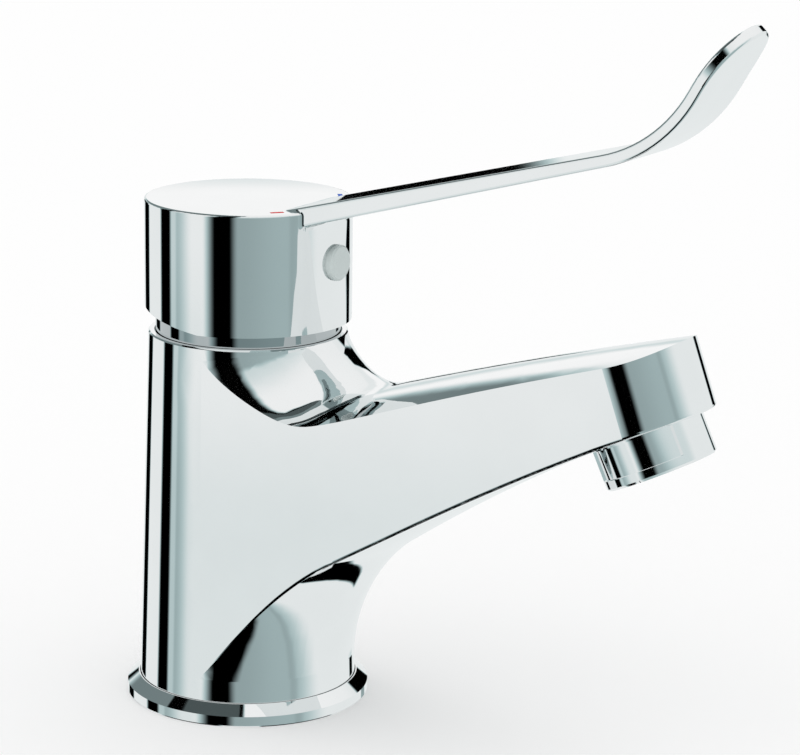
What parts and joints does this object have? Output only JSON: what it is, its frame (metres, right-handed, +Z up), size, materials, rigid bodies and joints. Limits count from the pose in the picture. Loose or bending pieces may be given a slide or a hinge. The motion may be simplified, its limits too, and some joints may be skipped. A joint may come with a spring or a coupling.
{
  "type": "basin mixer tap",
  "caption": "Single-lever basin mixer tap with a round conical body, a rising tapered spout, a leaning aerator and a cap with a long swan-neck lever.",
  "frame": {"origin": "on the axis of the round body, in the plane of the underside that stands on the basin", "axes": "+Z up along the body axis, +X towards the tip of the spout, +Y to the right of a person who faces the tap"},
  "size_m": [0.1492, 0.0548, 0.1609],
  "materials": {
    "chrome_body": "polished chrome on cast brass",
    "chrome_handle": "polished chrome on a zinc casting",
    "chrome_trim": "polished chrome on turned brass",
    "cartridge_plastic": "moulded, dark grey",
    "guide_plastic": "moulded, off-white",
    "insert_plastic": "moulded, pale grey",
    "cover_plastic": "glossy pale grey plug",
    "ceramic": "lapped alumina",
    "rubber": "black rubber",
    "steel": "drawn stainless steel",
    "brass": "turned brass",
    "marker_red": "red enamel",
    "marker_blue": "blue enamel"
  },
  "bodies": {
    "tap_body": {"body": "chrome_body", "base_ring": "chrome_trim", "base_gasket": "rubber", "cartridge_base": "cartridge_plastic", "seat_seals": "rubber", "disc_seals": "rubber", "cartridge_housing": "cartridge_plastic", "fixed_disc": "ceramic", "cartridge_nut": "brass", "trim_collar": "chrome_trim", "centring_ring": "guide_plastic", "aerator_housing": "chrome_trim", "aerator_insert": "insert_plastic", "aerator_strainer": "insert_plastic", "aerator_gasket": "rubber"},
    "rotor": {"stem_guide": "guide_plastic", "guide_seal": "rubber", "pivot_pin": "steel"},
    "lever": {"handle": "chrome_handle", "stem": "steel", "grub_screw": "steel", "screw_cover": "cover_plastic", "hot_marker": "marker_red", "cold_marker": "marker_blue"},
    "slider": {"moving_disc": "ceramic", "disc_carrier": "cartridge_plastic"}
  },
  "joints": [
    {"name": "temperature_turn", "type": "hinge", "parent": "tap_body", "child": "rotor", "pos_m": [0, 0, 0.081], "axis": [0, 0, 1], "range_deg": [-50, 50]},
    {"name": "flow_lift", "type": "hinge", "parent": "rotor", "child": "lever", "pos_m": [0, 0, 0.086], "axis": [0, -1, 0], "range_deg": [0, 15]},
    {"name": "disc_travel", "type": "slide", "parent": "rotor", "child": "slider", "axis": [1, 0, 0], "range_m": [0, 0.00451]}
  ],
  "couplings": [
    {"joint": "disc_travel", "follows": "flow_lift", "m_per_rad": 0.0172}
  ]
}
